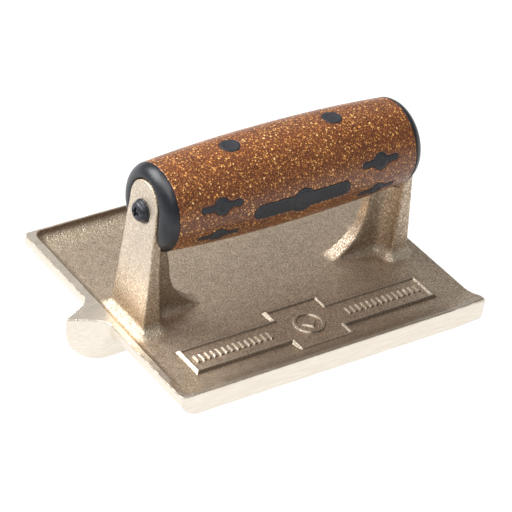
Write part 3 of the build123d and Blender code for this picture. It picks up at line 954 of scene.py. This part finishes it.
class Wire:
    """A socket with arithmetic: an expression on wires adds its Math nodes."""

    def __init__(self, finish, socket):
        self.finish = finish
        self.socket = socket

    def combine(self, operation, *values):
        return self.finish.add("Math", {"operation": operation}, dict(enumerate(values)))

    def __add__(self, other):
        return self.combine("ADD", self, other)

    def __sub__(self, other):
        return self.combine("SUBTRACT", self, other)

    def __rsub__(self, other):
        return self.combine("SUBTRACT", other, self)

    def __mul__(self, other):
        return self.combine("MULTIPLY", self, other)

    __radd__ = __add__
    __rmul__ = __mul__

    def step(self, low, high):
        """0 below low, 1 above high, smooth between; low may be the larger."""
        return self.finish.add("MapRange", {"interpolation_type": "SMOOTHSTEP"},
                               {"Value": self, "From Min": low, "From Max": high})


class Finish:
    """A material under construction, with its patterns on object coordinates."""

    def __init__(self, name):
        self.material = bpy.data.materials.new(name)
        self.material.use_nodes = True
        self.tree = self.material.node_tree
        self.tree.nodes.clear()
        self.place = self.add("TexCoord", output="Object")

    def add(self, kind, settings=None, sockets=None, output=0):
        """One node: its settings first, then its sockets by name or number; gives the wire of one output."""
        node = self.tree.nodes.new("ShaderNode" + kind)
        for key, value in (settings or {}).items():
            if key == "stops":
                ramp = node.color_ramp.elements
                while len(ramp) < len(value):
                    ramp.new(0.5)
                for element, (position, colour) in zip(ramp, value):
                    element.position = position
                    element.color = (*colour, 1)
            else:
                setattr(node, key, value)
        for key, value in (sockets or {}).items():
            if isinstance(value, Wire):
                self.tree.links.new(value.socket, node.inputs[key])
            else:
                node.inputs[key].default_value = value
        return None if output is None else Wire(self, node.outputs[output])

    def mark(self, name):
        """A number from 0 to 1 that the mesh carries at its points."""
        return self.add("Attribute", {"attribute_name": name}, output="Fac")

    def noise(self, size_mm, detail=2.0, rough=0.5, stretch=None):
        """Smooth random value about 0.5, with features of this size; a larger stretch packs them closer."""
        place = self.place
        if stretch:
            place = self.add("VectorMath", {"operation": "MULTIPLY"}, {0: place, 1: stretch})
        return self.add("TexNoise", None, {"Vector": place, "Scale": 1000 / size_mm, "Detail": detail,
                                           "Roughness": rough})

    def mix(self, factor, a, b):
        """Colour a where the factor is 0 and b where it is 1."""
        return self.add("Mix", {"data_type": "RGBA"}, {"Factor": factor, 6: opaque(a), 7: opaque(b)}, 2)

    def tint(self, colour, value):
        """A colour made darker or lighter by a number."""
        return self.add("VectorMath", {"operation": "SCALE"}, {0: colour, "Scale": value})

    def bump(self, height, depth_mm):
        """Normals of a relief this deep."""
        return self.add("Bump", None, {"Height": height, "Distance": depth_mm * MM})

    def surface(self, **sockets):
        """Ends the material in a Principled shader; underscores stand for spaces in socket names."""
        self.add_output(self.add("BsdfPrincipled", None, {key.replace("_", " "): value
                                                          for key, value in sockets.items()}))
        return self.material

    def add_output(self, shader):
        """Leads a shader to the material's surface."""
        self.add("OutputMaterial", None, {"Surface": shader}, output=None)


def opaque(colour):
    """A plain colour with its alpha of 1; a wire stays as it is."""
    return (*colour, 1) if isinstance(colour, tuple) else colour


def bronze():
    """Sand-cast bronze, warm grey-brown and grainy, with its ground faces bright and finely streaked."""
    f = Finish("cast_bronze")
    ground = f.mark("ground")
    fillet = f.mark("fillet")
    grime = f.mark("grime")
    broad = f.noise(22, 3)
    mottle = f.noise(2.4, 3, 0.6)
    grain = f.noise(0.62, 2, 0.7)
    grit = f.noise(1.0, 3, 0.6)
    sparkle = f.noise(0.6, 1, 0.5).step(0.53, 0.64)
    pits = f.noise(0.75, 2, 0.6).step(0.45, 0.32)
    shade = 0.86 + broad * 0.16 + mottle * 0.12
    cast = f.tint(f.mix(mottle.step(0.35, 0.7), (0.50, 0.395, 0.295), (0.60, 0.482, 0.365)), shade)
    cast = f.mix(sparkle * (0.62 + fillet * 0.38), cast, (1.0, 0.89, 0.69))
    cast = f.mix(pits * 0.6, cast, (0.15, 0.105, 0.075))
    # Painted shade: darkens the back wall, the webs, the panel's foot and its steep faces turned away from the
    # toe.
    cast = f.mix(grime * 0.62, cast, (0.13, 0.085, 0.055))
    # Painted highlight: a cream colour where the fillet mark is high, at the posts' feet, at the back wall's foot
    # and on the panel's faces turned to the toe.
    cast = f.mix(fillet * 0.45, cast, (0.86, 0.79, 0.60))
    streak = f.noise(0.5, 2, 0.6, (0.06, 0.6, 1.6))
    streak_x = f.noise(0.5, 2, 0.6, (1.6, 0.6, 0.06))
    bright = f.mix(streak.step(0.3, 0.7), (0.80, 0.725, 0.615), (0.91, 0.85, 0.755))
    colour = f.mix(ground, cast, bright)
    rough = (1 - ground) * (0.56 - sparkle * 0.22 - fillet * 0.12) + ground * (0.34 + streak * 0.16)
    coarse = (1 - ground * 0.85) * (0.55 + fillet * 0.9)
    relief = (grain * 0.55 + grit * 0.45) * coarse + (streak + streak_x) * 0.03 * ground
    return f.surface(Base_Color=colour, Metallic=1.0, Roughness=rough, Normal=f.bump(relief, 0.64))


# Layers of chips, fine to coarse: cell size in mm, the largest radius and how far radii fall below it
# as parts of a cell, the share of cells that hold a chip, and a ramp of chip colours
CHIP_LAYERS = (
    (0.52, 0.40, 0.18, 0.88,
     ((0.0, (0.24, 0.07, 0.018)), (0.6, (0.42, 0.15, 0.035)), (1.0, (0.66, 0.29, 0.08)))),
    (0.84, 0.40, 0.22, 0.76,
     ((0.0, (0.36, 0.12, 0.028)), (0.5, (0.62, 0.26, 0.06)), (1.0, (0.88, 0.48, 0.15)))),
    (1.28, 0.36, 0.24, 0.52,
     ((0.0, (0.50, 0.18, 0.045)), (0.5, (0.80, 0.38, 0.10)), (1.0, (0.96, 0.64, 0.27)))),
)
CHIP_WANDER = 0.0009


def composite():
    """Dark red-brown composite crowded with orange, straw and tan chips under a satin skin.

    Each chip is the part of a Voronoi cell near its middle, its outline made ragged by a little noise.
    """
    f = Finish("speckled_composite")
    wander = f.add("TexNoise", None, {"Vector": f.place, "Scale": 1400.0, "Detail": 1.0}, "Color")
    shift = f.add("VectorMath", {"operation": "SUBTRACT"}, {0: wander, 1: (0.5, 0.5, 0.5)})
    warped = f.add("VectorMath", {"operation": "MULTIPLY_ADD"}, {0: shift, 1: (CHIP_WANDER,) * 3, 2: f.place})
    colour = f.mix(f.noise(14, 2).step(0.35, 0.65), (0.076, 0.020, 0.006), (0.115, 0.033, 0.010))
    colour = f.mix(f.noise(0.6, 2).step(0.38, 0.66), colour, (0.200, 0.062, 0.018))
    chips = []
    for size, radius, spread, share, stops in CHIP_LAYERS:
        cell = {"Vector": warped, "Scale": 1000 / size}
        distance = f.add("TexVoronoi", None, cell, "Distance")
        random = f.add("TexVoronoi", None, cell, "Color")
        split = f.add("SeparateColor", None, {"Color": random}, "Red")
        pick = f.add("SeparateColor", None, {"Color": random}, "Green")
        chance = f.add("SeparateColor", None, {"Color": random}, "Blue")
        reach = (radius - spread * split - distance).step(-0.04, 0.05)
        chip = reach * chance.step(share + 0.01, share)
        colour = f.mix(chip, colour, f.add("ValToRGB", {"stops": stops}, {"Fac": pick}))
        chips.append(chip)
    grain = f.noise(0.35, 2)
    fine, middle, coarse = chips
    relief = (fine + middle + coarse) * 0.2 + grain * 0.5
    return f.surface(Base_Color=colour, Roughness=0.36 + grain * 0.12, Normal=f.bump(relief, 0.035),
                     Coat_Weight=0.12, Coat_Roughness=0.25)


def cap_plastic():
    """Satin black moulding with a fine matt grain and faint scuffs."""
    f = Finish("cap_black")
    grain = f.noise(0.3, 2, 0.6)
    scuff = f.noise(6, 4, 0.65)
    colour = f.mix(scuff.step(0.45, 0.75), (0.015, 0.016, 0.020), (0.030, 0.031, 0.036))
    return f.surface(Base_Color=colour, Roughness=0.24 + scuff * 0.16, Normal=f.bump(grain, 0.02),
                     Specular_IOR_Level=0.36)


def inlay_plastic():
    """Matt black inlay, slightly pebbled."""
    f = Finish("inlay_black")
    grain = f.noise(0.4, 3, 0.6)
    colour = f.mix(grain.step(0.35, 0.7), (0.016, 0.017, 0.021), (0.036, 0.037, 0.043))
    return f.surface(Base_Color=colour, Roughness=0.50 + grain * 0.12, Normal=f.bump(grain, 0.05))


def core_plastic():
    """Plain black moulding of the hidden core."""
    f = Finish("core_black")
    grain = f.noise(0.5, 2)
    return f.surface(Base_Color=f.mix(grain, (0.02, 0.02, 0.022), (0.045, 0.045, 0.048)), Roughness=0.55,
                     Normal=f.bump(grain, 0.02))


def black_steel():
    """Black oxide on steel: dark, faintly blue, rubbed paler in patches."""
    f = Finish("black_oxide")
    patch = f.noise(1.6, 3, 0.6)
    grain = f.noise(0.25, 2)
    colour = f.mix(patch.step(0.5, 0.75), (0.045, 0.047, 0.054), (0.11, 0.11, 0.12))
    return f.surface(Base_Color=colour, Metallic=0.75, Roughness=0.34 + patch * 0.16,
                     Normal=f.bump(grain, 0.02))


def turned_brass():
    """Turned brass with fine rings along the axis."""
    f = Finish("turned_brass")
    rings = f.noise(0.25, 2, 0.6, (1.0, 0.02, 0.02))
    colour = f.mix(rings, (0.62, 0.45, 0.19), (0.80, 0.62, 0.30))
    return f.surface(Base_Color=colour, Metallic=1.0, Roughness=0.28 + rings * 0.12,
                     Normal=f.bump(rings, 0.02))


def finish_core(material):
    """The hidden core keeps its CAD shape."""
    core = frame["nodes"]["handle_core"]
    core.data.materials.clear()
    core.data.materials.append(material)


set_camera()
set_light()
set_floor()
metal = bronze()
build_casting(metal)
build_panel(metal)
build_sleeve(composite())
build_inlays(inlay_plastic())
build_caps(cap_plastic())
steel = black_steel()
build_screws(steel)
build_washers(steel)
build_inserts(turned_brass())
finish_core(core_plastic())
